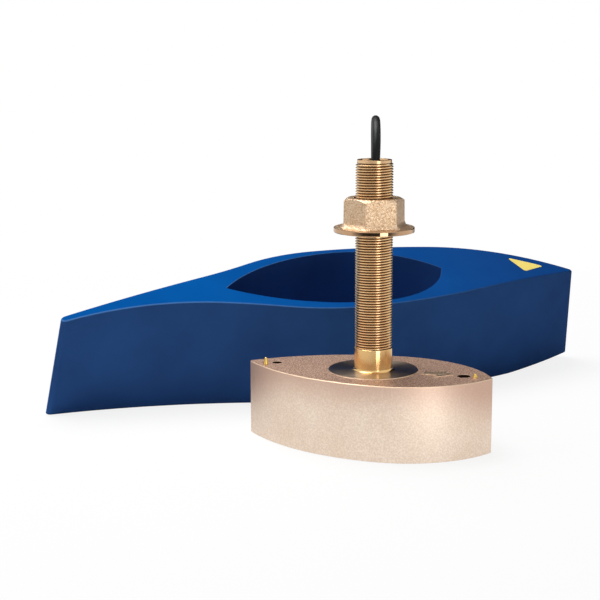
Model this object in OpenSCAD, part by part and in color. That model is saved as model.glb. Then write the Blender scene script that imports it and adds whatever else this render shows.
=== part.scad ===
// Through-hull sonar transducer with its hull nut, cable and high-speed fairing.
// The bronze housing stands on its sounding face with the threaded stem upright, and the moulded
// fairing, taken off, stands behind it on the face that is cut to the slope of the hull.
// Millimetres. The origin is on the stem axis in the plane of the sounding face,
// +X runs to the bow of the housing and +Z up the stem.

/* [Housing] */
// Stem axis to the tail tip of the housing
housing_tail = 117; // [110:1:125]
// Stem axis to the bow tip of the housing
housing_bow = 108; // [102:1:115]
// Greatest width of the housing
housing_w = 119.6; // [114:0.2:128]
// How far forward of the stem axis the housing is widest
housing_widest = 16.4; // [12:0.2:20]
// Height of the housing from the sounding face to its flat top
housing_h = 67.4; // [64:0.2:72]
// Radius of the blunt bow and tail tips
tip_r = 2.5; // [1.5:0.1:3.5]
// Thickness of the side wall
wall = 5; // [4:0.25:6]
// Thickness of the roof
roof = 12; // [11:0.25:13]
// Diameter of the turned seat round the stem
seat_d = 80; // [70:1:86]
// Depth of the turned seat
seat_depth = 0.8; // [0.4:0.1:1.5]

/* [Stem] */
// Outside diameter of the stem, the major diameter of its thread
stem_d = 33.25; // [30:0.05:36]
// Bore of the stem
stem_bore_d = 23; // [20:0.5:25]
// Height of the stem's mouth above the housing top
stem_len = 187.5; // [170:0.5:210]
// Length of the plain shank below the thread
shank_len = 21; // [15:0.5:30]
// How far the plain shank stands out over the thread, on the radius
shank_over = 0.5; // [0.4:0.1:1]
// Fillet where the stem meets its seat
stem_fillet = 2.4; // [1:0.1:3]
// Chamfer at the mouth of the stem
stem_chamfer = 1.4; // [0.5:0.1:2]

/* [Top of the housing] */
// Aft screw hole, distance behind the stem axis
aft_hole_x = 91; // [86:0.5:93]
// Aft screw hole, diameter
aft_hole_d = 9; // [7:0.5:10]
// Forward screw hole, distance ahead of the stem axis
fwd_hole_x = 82.5; // [78:0.5:85]
// Forward screw hole, diameter
fwd_hole_d = 11.5; // [9:0.5:12]
// Depth of both screw holes
screw_hole_depth = 9; // [7:0.5:10]
// Shank diameter of the locating pins
pin_d = 4.6; // [3.5:0.1:5.5]
// Depth of the locating pins in the roof
pin_depth = 7; // [5:0.5:8]
// How far the aft pin stands up
aft_pin_h = 6.8; // [4:0.1:8]
// How far the forward pin stands up
fwd_pin_h = 3.6; // [2.5:0.1:6]
// Length of the bow arrow
arrow_len = 27; // [22:1:30]
// Width of the bow arrow across its barbs
arrow_w = 26; // [20:1:30]
// How far the bow arrow stands up
arrow_h = 0.7; // [0.4:0.1:1]

/* [Hull nut] */
// Height of the nut's flange face above the housing top
nut_gap = 124.3; // [60:0.1:150]
// Diameter of the flange
flange_d = 71.3; // [64:0.1:80]
// Thickness of the flange at its rim
flange_t = 4.2; // [3:0.1:6]
// Width of the hexagon across its flats
hex_af = 48; // [45:0.5:52]
// How far the foot of the hexagon flares out, at its flats
skirt_out = 3.6; // [2:0.1:5]
// Height of the flared foot over the flange
skirt_h = 4.2; // [3:0.1:6]
// Overall height of the nut
nut_h = 30; // [24:0.5:36]
// Clearance between nut and stem, on the radius
nut_clear = 0.3; // [0.2:0.05:0.5]

/* [Sonar elements] */
// Thickness of the acoustic window
window_t = 8; // [6:0.5:10]
// Height of the element carrier
carrier_h = 28; // [24:0.5:30]
// Diameter of the high-frequency ceramic disc
hf_d = 68; // [60:1:72]
// Thickness of the high-frequency ceramic disc
hf_t = 10; // [8:0.5:12]
// Diameter of a low-frequency ceramic
lf_d = 24; // [20:0.5:25]
// Foam left between neighbouring ceramics
element_gap = 3; // [2:0.25:4]
// Length of the terminal board
board_l = 70; // [64:1:76]
// Width of the terminal board
board_w = 36; // [30:1:42]
// Thickness of the terminal board
board_t = 1.6; // [1.2:0.1:2]
// Outside diameter of the matching transformer
coil_core_d = 30; // [26:1:32]
// Hole of the matching transformer
coil_core_hole_d = 14; // [10:1:16]
// Height of the matching transformer
coil_core_h = 11; // [8:0.5:12]
// Diameter of the temperature sensor
sensor_d = 8; // [6:0.5:10]
// Distance from the tail tip to the temperature sensor
sensor_setback = 30; // [26:1:36]
// Clearance round each inner piece, on the radius
inner_clear = 0.1; // [0.05:0.05:0.2]

/* [Fairing] */
// Stem axis of the pocket to the bow of the fairing
fairing_bow = 281; // [265:1:300]
// Stem axis of the pocket to the foot of the trailing edge
fairing_tail = 308; // [290:1:325]
// Greatest width of the fairing
fairing_w = 142.8; // [138:0.2:155]
// How far aft of the stem axis the fairing is widest
fairing_widest = 4; // [0:0.5:10]
// How far aft of the stem axis the flanks turn from convex to hollow
flank_turn = 85; // [75:1:95]
// Width of the fairing where the flanks turn
flank_turn_w = 107.8; // [100:0.2:112]
// Radius of the bow edge
bow_edge_r = 3.6; // [2.5:0.1:6]
// Radius of the trailing edge
tail_edge_r = 5; // [4:0.1:6]
// Lean of the trailing edge from upright
tail_rake = 6.8; // [0:0.2:15]
// Lean of the bow edge from upright
bow_rake = 5.4; // [0:0.2:8]
// Length of the forefoot, where the hull face is eased away under the bow
forefoot_len = 90; // [60:1:120]
// How far the forefoot rises at the bow
forefoot_rise = 5; // [1:0.5:8]
// Height of the pocket's mouth over the hull face, on the stem axis
fairing_h = 117.5; // [110:0.5:130]
// Slope of the hull face across the fairing
deadrise = 14.4; // [8:0.2:16]
// Slope of the hull face along the fairing
trim_angle = 0.8; // [0:0.1:2]
// Where the flat mouth ends and the crown towards the tail begins, aft of the stem axis
tail_crown_x = 140; // [130:1:160]
// Radius of the crown towards the tail
tail_crown_r = 720; // [500:10:1000]
// Where the flat mouth ends and the crown towards the bow begins, ahead of the stem axis
bow_crown_x = 128; // [120:1:150]
// Radius of the crown towards the bow
bow_crown_r = 680; // [500:10:1000]
// Clearance of the pocket at the widest part of the housing
pocket_clear = 2.5; // [1:0.25:3.5]
// How far the tail tip of the pocket runs past that of the housing
pocket_tail_over = 11; // [4:0.5:14]
// How far the bow tip of the pocket runs past that of the housing
pocket_bow_over = 6.5; // [3:0.5:9]
// Depth of the pocket beyond the height of the housing
pocket_over = 1; // [0:0.25:3]
// Clearance of the stem hole, on the radius
stem_hole_clear = 1.5; // [0.5:0.25:3]
// Clearance of the holes for the locating pins, on the radius
pin_hole_clear = 0.7; // [0.3:0.1:1.5]
// Length of the direction marker
marker_len = 33; // [24:1:40]
// Width of the direction marker
marker_w = 34; // [24:1:40]
// Distance from the bow to the point of the direction marker
marker_setback = 40; // [34:1:60]
// Thickness of the direction marker
marker_t = 1; // [0.6:0.1:2]

/* [Cable and connector] */
// Diameter of the cable
cable_d = 7.5; // [6:0.5:8]
// Length of the seal in the stem's bore
seal_h = 16; // [10:1:24]
// Depth of the seal below the stem's mouth
seal_drop = 17; // [12:0.5:24]
// Turns in each layer of the coil
coil_columns = 5; // [4:1:6]
// Layers of the coil
coil_layers = 4; // [2:2:6]
// Diameter of the coil at the middle of its turns
coil_mid_d = 135; // [120:1:150]
// Thickness of the ties round the coil
tie_t = 1.3; // [0.8:0.1:2]
// Width of the ties
tie_w = 9; // [6:0.5:14]
// Outside diameter of the connector's coupling ring
ring_d = 22; // [21:0.5:26]
// Diameter of the connector's body
body_d = 18; // [16:0.5:20]
// Length of the connector's body
body_l = 32; // [28:1:40]
// Length of the strain relief boot
boot_l = 28; // [20:1:40]
// Length of the coupling ring
ring_l = 18; // [14:1:22]

/* [Hidden] */
$fn = 128;
big = 800;
bite = 1;
// Small chamfer on the edges of turned pieces
edge = 0.6;

half_w = housing_w / 2;
bow_reach = housing_bow - housing_widest;
tail_reach = housing_tail + housing_widest;
bow_r = flank_radius(bow_reach, half_w, tip_r);
tail_r = flank_radius(tail_reach, half_w, tip_r);
bow_c = bow_r - half_w;
tail_c = tail_r - half_w;
inner_tip_r = 1;
mouth_tip_r = 0.8;

roof_z = housing_h - roof;
seat_z = housing_h - seat_depth;
stem_top = housing_h + stem_len;
stem_r = stem_d / 2;
shank_r = stem_r + shank_over;
shank_top = housing_h + shank_len;
aft_pin_at = [-98, -11];
fwd_pin_at = [93, -2];
pin_end_share = 0.55;
pin_shoulder = 0.5;
arrow_tip_x = 73;
arrow_head_share = 0.5;
arrow_shaft_share = 0.42;

nut_z = housing_h + nut_gap;
hex_cone_slope = 30;
hex_turn = 30;

carrier_z = window_t;
carrier_top = carrier_z + carrier_h;
hf_x = housing_widest;
lf_pitch = lf_d + element_gap;
aft_row_x = hf_x - hf_d / 2 - element_gap - lf_d / 2;
fwd_row_x = hf_x + hf_d / 2 + element_gap + lf_d / 2;
lf_places = [
    [aft_row_x, -lf_pitch],
    [aft_row_x, 0],
    [aft_row_x, lf_pitch],
    [aft_row_x - lf_pitch, 0],
    [fwd_row_x, -lf_pitch / 2],
    [fwd_row_x, lf_pitch / 2]
];
board_top = carrier_top + board_t;
board_x = -board_l / 2 + cable_d * 2;
coil_core_x = -cable_d - coil_core_d / 2;
sensor_x = sensor_setback - housing_tail;
seal_top = stem_top - seal_drop;

flank_half_w = fairing_w / 2;
turn_half_w = flank_turn_w / 2;
convex_run = flank_turn - fairing_widest;
convex_drop = flank_half_w - turn_half_w;
convex_r = (convex_run * convex_run + convex_drop * convex_drop) / (2 * convex_drop);
turn_angle = asin(convex_run / convex_r);
turn_normal = [-sin(turn_angle), cos(turn_angle)];
hollow_span = [flank_turn - fairing_tail, tail_edge_r - turn_half_w];
hollow_r = (hollow_span * hollow_span) / (2 * (hollow_span * turn_normal));
hollow_at = [-flank_turn, turn_half_w] + hollow_r * turn_normal;
prow_reach = fairing_bow + fairing_widest;
prow_r = flank_radius(prow_reach, flank_half_w, bow_edge_r);
pocket_half_w = half_w + pocket_clear;
pocket_bow_r = flank_radius(bow_reach + pocket_bow_over, pocket_half_w, mouth_tip_r);
pocket_tail_r = flank_radius(tail_reach + pocket_tail_over, pocket_half_w, mouth_tip_r);
pocket_depth = housing_h + pocket_over;
pin_hole_over = 2;
pin_hole_depth = aft_pin_h + pin_hole_over;
marker_corner_r = 2.5;
fairing_at = [-84, 182.5];
fairing_turn = 43;

// The cable's free run: up out of the stem, back over the fairing's rim, down to the coil
cable_route = [
    [0, 0, 238], [1, 0, 253], [-0.3, 6.5, 269.5], [-4.6, 21, 282.5], [-10.2, 39, 287],
    [-16, 57.5, 283], [-20.5, 73, 272], [-23.5, 84, 257], [-26.5, 94.5, 240.5], [-31.5, 111.5, 227],
    [-37, 129.5, 214.5], [-42.5, 148.5, 203], [-48, 169, 192.5], [-54, 190, 183], [-60, 211.5, 174],
    [-66, 232.5, 165], [-71, 251.5, 156.5], [-76, 269, 147], [-80.5, 283, 134.5], [-85, 294.5, 118.5],
    [-89.5, 303, 101.5], [-94, 309.5, 83.5], [-99.5, 315.5, 65.5], [-107, 322, 48.5], [-117, 330, 33.5],
    [-129.5, 339.5, 21.5], [-144, 350.5, 12.5], [-160, 363, 7.5], [-175.5, 376, 5.5], [-190.5, 387.5, 5]
];
// The short run from the top of the coil down to the connector
cable_end_route = [
    [-310.5, 317, 27.5], [-311, 302, 27], [-311.5, 287, 24.5], [-312, 272, 20], [-312.5, 257.5, 15],
    [-313, 244, 11.5], [-313, 235, 11], [-313, 226, 11]
];
route_side = [0.96, 0.27, 0];
cable_sides = 12;
coil_at = [-228, 314];
coil_half = coil_columns * cable_d / 2;
coil_h = coil_layers * cable_d;
tie_places = [120, 290];
tie_span = 2 * atan(tie_w / coil_mid_d);
connector_at = [-313, 232, ring_d / 2];
boot_wall = 1.5;
boot_tip_r = cable_d / 2 + boot_wall;
boot_tip_l = 3;
boot_collar_l = 4;
boot_sunk = 6;
nose_step = 1.2;
nose_wall = 1.6;
nose_r = body_d / 2 - nose_step;
ring_overhang = 3;
nose_l = ring_l - ring_overhang;
socket_r = nose_r - nose_wall;
socket_depth = 10;
insert_t = 3;
contact_r = 0.75;
contact_l = 6;
contact_spread = 1.2;
contact_pcd = socket_r * contact_spread;
contact_count = 6;
ring_clear = 0.15;
ring_lip = 2.5;

// Radius of a flank that is square to the beam at the widest point and runs smoothly into the tip
function flank_radius(reach, half, tip) =
    (pow(reach - tip, 2) + half * half - tip * tip) / (2 * (half - tip));

function unit(v) = v / norm(v);

// Direction of a route at point i
function heading(route, i) =
    unit(route[min(i + 1, len(route) - 1)] - route[max(i - 1, 0)]);

// One ring of a tube round point i of a route
function tube_ring(route, i, r, sides) =
    let (
        ahead = heading(route, i),
        across = unit(route_side - (route_side * ahead) * ahead),
        up = cross(ahead, across)
    )
    [for (k = [0 : sides - 1]) route[i] + r * (cos(360 * k / sides) * across + sin(360 * k / sides) * up)];

// Half of a pointed leaf, widest at the origin, with its tip towards +X and a lap behind the origin
module half_leaf(r, c, tip, lap = bite) {
    reach = sqrt(pow(r - tip, 2) - c * c);
    touch = reach * r / (r - tip);
    intersection() {
        translate([0, -c]) circle(r, $fn = 360);
        translate([0, c]) circle(r, $fn = 360);
        translate([-lap, -r]) square([touch + lap, 2 * r]);
    }
    translate([reach, 0]) circle(tip, $fn = 48);
}

// The plan of the housing, grown or shrunk all round
module leaf(grow, tip) {
    translate([housing_widest, 0]) {
        half_leaf(bow_r + grow, bow_c, tip);
        mirror([1, 0]) half_leaf(tail_r + grow, tail_c, tip);
    }
}

// The plan of the fairing's pocket: as wide as the housing and its clearance, with longer tips
module pocket_plan() {
    translate([housing_widest, 0]) {
        half_leaf(pocket_bow_r, pocket_bow_r - pocket_half_w, mouth_tip_r);
        mirror([1, 0]) half_leaf(pocket_tail_r, pocket_tail_r - pocket_half_w, mouth_tip_r);
    }
}

module inside_leaf(z, h, clear) {
    translate([0, 0, z]) linear_extrude(h) leaf(-wall - clear, inner_tip_r);
}

// A turned piece given by its outline of [radius, height] points
module turned(outline) {
    rotate_extrude() polygon(outline);
}

module tube(route, d, sides) {
    count = len(route);
    points = [for (i = [0 : count - 1]) each tube_ring(route, i, d / 2, sides)];
    skin = [
        for (i = [0 : count - 2], k = [0 : sides - 1])
            let (a = i * sides + k, b = i * sides + (k + 1) % sides)
            [a, a + sides, b + sides, b]
    ];
    first = [[for (k = [0 : sides - 1]) k]];
    last = [[for (k = [sides - 1 : -1 : 0]) (count - 1) * sides + k]];
    polyhedron(points, concat(skin, first, last));
}

module screw_hole(x, d) {
    translate([x, 0, housing_h - screw_hole_depth]) cylinder(d = d, h = screw_hole_depth + bite);
}

module pin_hole(at) {
    translate([at.x, at.y, housing_h - pin_depth]) cylinder(d = pin_d, h = pin_depth + bite);
}

module bow_arrow() {
    head = arrow_len * arrow_head_share;
    half = arrow_w / 2;
    shaft = half * arrow_shaft_share;
    outline = [
        [0, 0], [-head, half], [-head, shaft], [-arrow_len, shaft],
        [-arrow_len, -shaft], [-head, -shaft], [-head, -half]
    ];
    translate([arrow_tip_x, 0, housing_h - bite]) linear_extrude(arrow_h + bite) polygon(outline);
}

// The stem's outside, from inside the roof up: a fillet, the plain shank, the thread, the chamfered mouth
module stem_outside() {
    steps = 8;
    foot = [
        for (i = [0 : steps])
            let (a = 90 * i / steps)
            [shank_r + stem_fillet * (1 - sin(a)), seat_z + stem_fillet * (1 - cos(a))]
    ];
    turned(concat(
        [[0, roof_z + bite], [shank_r + stem_fillet, roof_z + bite]],
        foot,
        [[shank_r, shank_top - shank_over], [stem_r, shank_top]],
        [[stem_r, stem_top - stem_chamfer], [stem_r - stem_chamfer, stem_top], [0, stem_top]]
    ));
}

module housing() {
    color("#cba88a") difference() {
        union() {
            difference() {
                linear_extrude(housing_h) leaf(0, tip_r);
                translate([0, 0, seat_z]) cylinder(d = seat_d, h = seat_depth + bite);
            }
            stem_outside();
            bow_arrow();
        }
        translate([0, 0, -bite]) linear_extrude(roof_z + bite) leaf(-wall, inner_tip_r);
        cylinder(d = stem_bore_d, h = stem_top + bite);
        screw_hole(-aft_hole_x, aft_hole_d);
        screw_hole(fwd_hole_x, fwd_hole_d);
        pin_hole(aft_pin_at);
        pin_hole(fwd_pin_at);
    }
}

module hull_nut() {
    hex_r = hex_af / 2 / cos(30);
    cone_r = hex_r + bite;
    cone_h = (cone_r - hex_af / 2) * tan(hex_cone_slope);
    skirt_r = hex_r + skirt_out / cos(30);
    flange_r = flange_d / 2;
    color("#c99f6a") translate([0, 0, nut_z]) difference() {
        union() {
            turned([
                [0, 0], [flange_r - edge, 0], [flange_r, edge],
                [flange_r, flange_t - edge], [flange_r - edge, flange_t], [0, flange_t]
            ]);
            translate([0, 0, flange_t]) rotate([0, 0, hex_turn])
                cylinder(r1 = skirt_r, r2 = hex_r, h = skirt_h, $fn = 6);
            intersection() {
                rotate([0, 0, hex_turn]) cylinder(r = hex_r, h = nut_h, $fn = 6);
                turned([[0, 0], [cone_r, 0], [cone_r, nut_h - cone_h], [hex_af / 2, nut_h], [0, nut_h]]);
            }
        }
        translate([0, 0, -bite]) cylinder(r = stem_r + nut_clear, h = nut_h + 2 * bite);
    }
}

// A locating pin, pressed into the roof, with a tapered and rounded end
module locating_pin(at, h) {
    r = pin_d / 2;
    end_r = r * pin_end_share;
    color("#d8b45a") translate([at.x, at.y, housing_h - pin_depth]) turned(concat(
        [[0, 0], [r - inner_clear, 0], [r - inner_clear, pin_depth], [r, pin_depth + pin_shoulder]],
        [for (a = [0 : 15 : 90]) [end_r * cos(a), pin_depth + h - end_r + end_r * sin(a)]]
    ));
}

module acoustic_window() {
    color("#2b2b2d") difference() {
        inside_leaf(0, window_t, inner_clear);
        translate([sensor_x, 0, -bite]) cylinder(d = sensor_d, h = window_t + 2 * bite);
    }
}

module temperature_sensor() {
    r = sensor_d / 2 - inner_clear;
    color("#b98a4a") translate([sensor_x, 0, 0])
        turned([[0, 0], [r - edge, 0], [r, edge], [r, window_t], [0, window_t]]);
}

module element_carrier() {
    color("#d9cfa8") difference() {
        inside_leaf(carrier_z, carrier_h, inner_clear);
        translate([hf_x, 0, carrier_z - bite]) cylinder(d = hf_d, h = carrier_h + 2 * bite);
        for (at = lf_places)
            translate([at.x, at.y, carrier_z - bite]) cylinder(d = lf_d, h = carrier_h + 2 * bite);
    }
}

module high_frequency_ceramic() {
    color("#e9e4d6") translate([hf_x, 0, carrier_z]) cylinder(d = hf_d - 2 * inner_clear, h = hf_t);
}

module backing_pad() {
    color("#8a6a45") translate([hf_x, 0, carrier_z + hf_t])
        cylinder(d = hf_d - 2 * inner_clear, h = carrier_h - hf_t);
}

module low_frequency_ceramic(place) {
    color("#e9e4d6") translate([place.x, place.y, carrier_z])
        cylinder(d = lf_d - 2 * inner_clear, h = carrier_h);
}

module board_blank(clear) {
    translate([board_x - board_l / 2 - clear, -board_w / 2 - clear, carrier_top])
        cube([board_l + 2 * clear, board_w + 2 * clear, board_t]);
}

module core_blank(clear) {
    translate([coil_core_x, 0, board_top]) difference() {
        cylinder(d = coil_core_d + 2 * clear, h = coil_core_h);
        translate([0, 0, -bite]) cylinder(d = coil_core_hole_d - 2 * clear, h = coil_core_h + 2 * bite);
    }
}

module terminal_board() {
    color("#2f6b3a") board_blank(0);
}

module matching_transformer() {
    color("#7a4a2a") core_blank(0);
}

module potting() {
    color("#3a3634") difference() {
        inside_leaf(carrier_top, roof_z - carrier_top, inner_clear);
        board_blank(inner_clear);
        core_blank(inner_clear);
        translate([0, 0, carrier_top]) cylinder(d = cable_d + 2 * inner_clear, h = roof_z);
    }
}

module stem_lead() {
    color("#1c1c1e") translate([0, 0, board_top]) cylinder(d = cable_d, h = seal_top - board_top);
}

module stem_seal() {
    color("#26262a") translate([0, 0, seal_top - seal_h]) difference() {
        cylinder(d = stem_bore_d - 2 * inner_clear, h = seal_h);
        translate([0, 0, -bite]) cylinder(d = cable_d + 2 * inner_clear, h = seal_h + 2 * bite);
    }
}

module cable() {
    color("#1c1c1e") tube(cable_route, cable_d, cable_sides);
}

module cable_end() {
    color("#1c1c1e") tube(cable_end_route, cable_d, cable_sides);
}

module coil_section(grow) {
    translate([coil_mid_d / 2 - coil_half - grow, tie_t - grow])
        square([2 * (coil_half + grow), coil_h + 2 * grow]);
}

module cable_coil() {
    color("#1c1c1e") translate([coil_at.x, coil_at.y, 0]) rotate_extrude() coil_section(0);
}

module coil_tie(place) {
    color("#3a3a3e") translate([coil_at.x, coil_at.y, 0]) rotate([0, 0, place - tie_span / 2])
        rotate_extrude(angle = tie_span) difference() {
            coil_section(tie_t);
            coil_section(0);
        }
}

// Pieces of the connector stand along +Z from the end of the cable and are laid down towards -Y
module lay_connector() {
    translate(connector_at) rotate([90, 0, 0]) children();
}

module connector_boot() {
    wide_r = body_d / 2 - edge;
    color("#222226") lay_connector() difference() {
        turned([
            [0, 0], [boot_tip_r, 0], [boot_tip_r + edge, boot_tip_l],
            [wide_r, boot_l - boot_collar_l], [wide_r, boot_l], [0, boot_l]
        ]);
        translate([0, 0, -bite]) cylinder(d = cable_d, h = boot_sunk + bite);
    }
}

module connector_body() {
    r = body_d / 2;
    color("#2a2a2e") lay_connector() translate([0, 0, boot_l]) difference() {
        turned([
            [0, 0], [r - edge, 0], [r, edge], [r, body_l - nose_l],
            [nose_r, body_l - nose_l], [nose_r, body_l], [0, body_l]
        ]);
        translate([0, 0, body_l - socket_depth]) cylinder(r = socket_r, h = socket_depth + bite);
    }
}

module coupling_ring() {
    r = ring_d / 2;
    color("#34343a") lay_connector() translate([0, 0, boot_l + body_l - nose_l]) turned([
        [nose_r + ring_clear, 0], [r - edge, 0], [r, edge], [r, ring_l - edge], [r - edge, ring_l],
        [r - ring_lip, ring_l], [nose_r + ring_clear, ring_l - edge]
    ]);
}

module contact_insert() {
    color("#4a4a50") lay_connector() translate([0, 0, boot_l + body_l - socket_depth])
        cylinder(r = socket_r - inner_clear, h = insert_t);
}

module contact_pins() {
    color("#d8b45a") lay_connector() translate([0, 0, boot_l + body_l - socket_depth + insert_t]) {
        cylinder(r = contact_r, h = contact_l);
        for (a = [0 : 360 / contact_count : 359])
            rotate([0, 0, a]) translate([contact_pcd / 2, 0, 0]) cylinder(r = contact_r, h = contact_l);
    }
}

// The fairing is drawn in the frame of its pocket: the mouth in z = 0 and the bow towards +X,
// then set down on its hull face behind the housing
module stand_fairing() {
    translate([fairing_at.x, fairing_at.y, fairing_h])
        rotate([deadrise, -trim_angle, fairing_turn]) children();
}

// The fairing ahead of its widest place: an ogive bow that leans with its foot forward
module prow() {
    lap = 3 * fairing_h * tan(bow_rake) + bite;
    intersection() {
        rotate([0, -bow_rake, 0]) translate([-fairing_widest, 0, -2 * fairing_h])
            linear_extrude(3 * fairing_h) half_leaf(prow_r, prow_r - flank_half_w, bow_edge_r, lap);
        translate([-fairing_widest - bite / 2, -big / 2, -big / 2]) cube(big);
    }
}

// Plan of the fairing aft of its widest place: round shoulders, then hollow flanks that close to the tail
module stern_plan() {
    intersection() {
        translate([-fairing_widest, flank_half_w - convex_r]) circle(convex_r, $fn = 360);
        translate([-fairing_widest, convex_r - flank_half_w]) circle(convex_r, $fn = 360);
        translate([-flank_turn, -fairing_w]) square([convex_run + bite / 2, 2 * fairing_w]);
    }
    difference() {
        translate([-fairing_tail, -turn_half_w])
            square([fairing_tail - flank_turn + bite / 2, flank_turn_w]);
        translate(hollow_at) circle(hollow_r, $fn = 720);
        translate([hollow_at.x, -hollow_at.y]) circle(hollow_r, $fn = 720);
    }
}

// Side view of everything below the mouth: flat over the pocket, crowned towards both ends
module crown_profile() {
    translate([-tail_crown_x, -big]) square([tail_crown_x + bow_crown_x, big]);
    intersection() {
        translate([-tail_crown_x, -tail_crown_r]) circle(tail_crown_r, $fn = 720);
        translate([-big, -big]) square([big - tail_crown_x + bite, big]);
    }
    intersection() {
        translate([bow_crown_x, -bow_crown_r]) circle(bow_crown_r, $fn = 720);
        translate([bow_crown_x - bite, -big]) square([big, big]);
    }
}

module under_crown(drop) {
    translate([0, 0, -drop]) rotate([90, 0, 0]) linear_extrude(fairing_w * 2, center = true) crown_profile();
}

module at_trailing_edge() {
    translate([tail_edge_r - fairing_tail, 0, -fairing_h]) rotate([0, tail_rake, 0]) children();
}

module fairing_block() {
    intersection() {
        under_crown(0);
        union() {
            prow();
            difference() {
                translate([0, 0, -2 * fairing_h]) linear_extrude(2 * fairing_h + bite) stern_plan();
                at_trailing_edge() translate([-big, -big / 2, -big / 2]) cube(big);
            }
            at_trailing_edge() translate([0, 0, -fairing_h]) cylinder(r = tail_edge_r, h = 3 * fairing_h);
        }
    }
}

// Rounded triangle that points to the bow
module marker_outline() {
    tip = fairing_bow - marker_setback - marker_corner_r;
    base = fairing_bow - marker_setback - marker_len + marker_corner_r;
    half = marker_w / 2 - marker_corner_r;
    lean = atan((tip - base) / half);
    // Each corner's centre, and the directions in which its round begins and ends
    corners = [
        [[tip, 0], -lean, lean],
        [[base, half], lean, 180],
        [[base, -half], 180, 360 - lean]
    ];
    steps = 6;
    polygon([
        for (corner = corners, i = [0 : steps])
            let (a = corner[1] + (corner[2] - corner[1]) * i / steps)
            corner[0] + marker_corner_r * [cos(a), sin(a)]
    ]);
}

// The drum that the bow's crown is part of, less a given depth
module bow_crown_drum(drop) {
    translate([bow_crown_x, 0, -bow_crown_r]) rotate([90, 0, 0])
        cylinder(r = bow_crown_r - drop, h = fairing_w, center = true, $fn = 720);
}

module marker_blank() {
    difference() {
        intersection() {
            bow_crown_drum(0);
            translate([0, 0, -fairing_h / 2]) linear_extrude(fairing_h) marker_outline();
        }
        bow_crown_drum(marker_t);
    }
}

module fairing() {
    color("#16479a") difference() {
        stand_fairing() difference() {
            fairing_block();
            translate([0, 0, -pocket_depth]) linear_extrude(pocket_depth + bite) pocket_plan();
            translate([0, 0, -2 * fairing_h])
                cylinder(r = stem_r + stem_hole_clear, h = 2 * fairing_h);
            for (at = [aft_pin_at, fwd_pin_at])
                translate([at.x, -at.y, -pocket_depth - pin_hole_depth])
                    cylinder(r = pin_d / 2 + pin_hole_clear, h = pin_hole_depth + bite);
            marker_blank();
        }
        translate([-big, -big, -big]) cube([2 * big, 2 * big, big]);
        under_forefoot();
    }
}

// Everything below the forefoot, which lifts off the hull face towards the bow
module under_forefoot() {
    translate([fairing_at.x, fairing_at.y, 0]) rotate([0, 0, fairing_turn])
        translate([fairing_bow - forefoot_len, 0, 0]) rotate([0, -atan(forefoot_rise / forefoot_len), 0])
            translate([0, -big / 2, -big]) cube(big);
}

module direction_marker() {
    color("#f0d560") stand_fairing() marker_blank();
}

housing();
hull_nut();
locating_pin(aft_pin_at, aft_pin_h);  // aft_locating_pin
locating_pin(fwd_pin_at, fwd_pin_h);  // forward_locating_pin
acoustic_window();
element_carrier();
high_frequency_ceramic();
for (i = [0 : len(lf_places) - 1])
    low_frequency_ceramic(lf_places[i]);
backing_pad();
terminal_board();
matching_transformer();
temperature_sensor();
potting();
stem_lead();
stem_seal();
cable();
cable_coil();
for (i = [0 : len(tie_places) - 1])
    coil_tie(tie_places[i]);
cable_end();
connector_boot();
connector_body();
coupling_ring();
contact_insert();
contact_pins();
fairing();
direction_marker();
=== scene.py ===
# A through-hull sonar transducer in cast bronze with its hull nut and cable, and the blue fairing
# that was taken off it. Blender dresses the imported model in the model's own frame, in metres:
# the stem stands on the origin, +X is the bow of the housing and +Z is up.

import math

import bmesh
import bpy
from mathutils import Matrix, Vector


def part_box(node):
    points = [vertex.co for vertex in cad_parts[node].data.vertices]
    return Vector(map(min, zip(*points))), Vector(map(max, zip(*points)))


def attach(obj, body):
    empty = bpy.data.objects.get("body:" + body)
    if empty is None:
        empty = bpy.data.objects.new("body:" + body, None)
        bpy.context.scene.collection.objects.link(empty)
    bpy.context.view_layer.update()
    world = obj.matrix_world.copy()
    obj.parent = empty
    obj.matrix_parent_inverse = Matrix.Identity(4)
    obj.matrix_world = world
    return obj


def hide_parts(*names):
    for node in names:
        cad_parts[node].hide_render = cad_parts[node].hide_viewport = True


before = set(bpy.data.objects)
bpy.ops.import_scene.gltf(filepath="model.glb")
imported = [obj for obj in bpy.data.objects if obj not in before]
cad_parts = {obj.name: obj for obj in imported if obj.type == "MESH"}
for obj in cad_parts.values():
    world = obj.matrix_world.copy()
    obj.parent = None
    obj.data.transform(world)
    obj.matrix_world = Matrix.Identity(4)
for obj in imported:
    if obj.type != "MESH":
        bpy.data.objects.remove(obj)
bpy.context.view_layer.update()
scene = bpy.context.scene
scene.view_settings.view_transform = "Standard"
MM = 0.001

# Camera of the photograph: a long lens a little higher than the stem, turned to the left so far
# that the stem stands right of the middle. It was fitted to the housing, the stem and the nut.
camera_at = (0.3477, -1.2249, 0.3671)
camera_turn = math.radians(18.784)
camera_tilt = math.radians(10.532)
camera_roll = math.radians(-0.148)
camera_lens, camera_sensor = 87.585, 36
bpy.ops.object.camera_add(location=camera_at)
camera = bpy.context.object
camera.name = "camera"
camera.data.lens = camera_lens
camera.data.sensor_width = camera_sensor
camera.rotation_euler = (
    Matrix.Rotation(camera_turn, 3, "Z")
    @ Matrix.Rotation(math.pi / 2 - camera_tilt, 3, "X")
    @ Matrix.Rotation(camera_roll, 3, "Z")
).to_euler()
scene.camera = camera


# Cable: round, about 7.5 mm thick, with a satin black jacket, run through the stem's mouth.
# It bends over the fairing's rim and lies behind it, where the rest of its length is wound into a
# tied coil, and it ends in the connector.
def linear(hex_colour):
    """An sRGB hex colour as linear red, green, blue and alpha."""
    parts = [int(hex_colour[i : i + 2], 16) / 255 for i in (1, 3, 5)]
    return [c / 12.92 if c < 0.04045 else ((c + 0.055) / 1.055) ** 2.4 for c in parts] + [1.0]


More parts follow.
